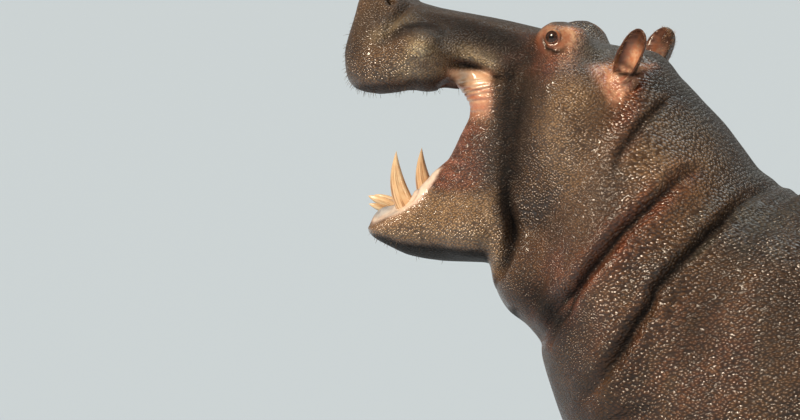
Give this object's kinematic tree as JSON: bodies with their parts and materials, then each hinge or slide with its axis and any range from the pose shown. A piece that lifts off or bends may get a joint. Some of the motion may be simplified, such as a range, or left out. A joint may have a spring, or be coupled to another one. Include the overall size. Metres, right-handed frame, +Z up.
{
  "type": "hippopotamus",
  "caption": "Still, life-size model of a common hippopotamus that stands with its head raised and its mouth wide open, tusks and tongue in view.",
  "frame": {"origin": "on the floor, at the middle of the animal's bounding box seen from above", "axes": "-X towards the muzzle, +X towards the tail, -Y towards the animal's left side, +Z up"},
  "size_m": [3.266, 1.1454, 1.9439],
  "materials": {
    "skin": "wet, wrinkled skin, grey-brown with pinkish folds",
    "mouth_lining": "moist, smooth pink tissue",
    "ivory": "yellowed ivory with fine lengthwise grooves",
    "eye": "moist, clear and glossy",
    "nail": "dull dark horn"
  },
  "bodies": {
    "root": {"head": "skin", "lower_jaw": "skin", "neck": "skin", "trunk": "skin", "tail": "skin", "foreleg_left": "skin", "foreleg_right": "skin", "hindleg_left": "skin", "hindleg_right": "skin", "ear_left": "skin", "ear_right": "skin", "eye_left": "eye", "eye_right": "eye", "tongue": "mouth_lining", "lower_canine_left": "ivory", "lower_incisor_inner_left": "ivory", "lower_incisor_outer_left": "ivory", "upper_canine_left": "ivory", "upper_incisor_inner_left": "ivory", "upper_incisor_outer_left": "ivory", "lower_canine_right": "ivory", "lower_incisor_inner_right": "ivory", "lower_incisor_outer_right": "ivory", "upper_canine_right": "ivory", "upper_incisor_inner_right": "ivory", "upper_incisor_outer_right": "ivory", "foreleg_left_nail_1": "nail", "foreleg_left_nail_2": "nail", "foreleg_left_nail_3": "nail", "foreleg_left_nail_4": "nail", "foreleg_right_nail_1": "nail", "foreleg_right_nail_2": "nail", "foreleg_right_nail_3": "nail", "foreleg_right_nail_4": "nail", "hindleg_left_nail_1": "nail", "hindleg_left_nail_2": "nail", "hindleg_left_nail_3": "nail", "hindleg_left_nail_4": "nail", "hindleg_right_nail_1": "nail", "hindleg_right_nail_2": "nail", "hindleg_right_nail_3": "nail", "hindleg_right_nail_4": "nail"}
  },
  "joints": []
}
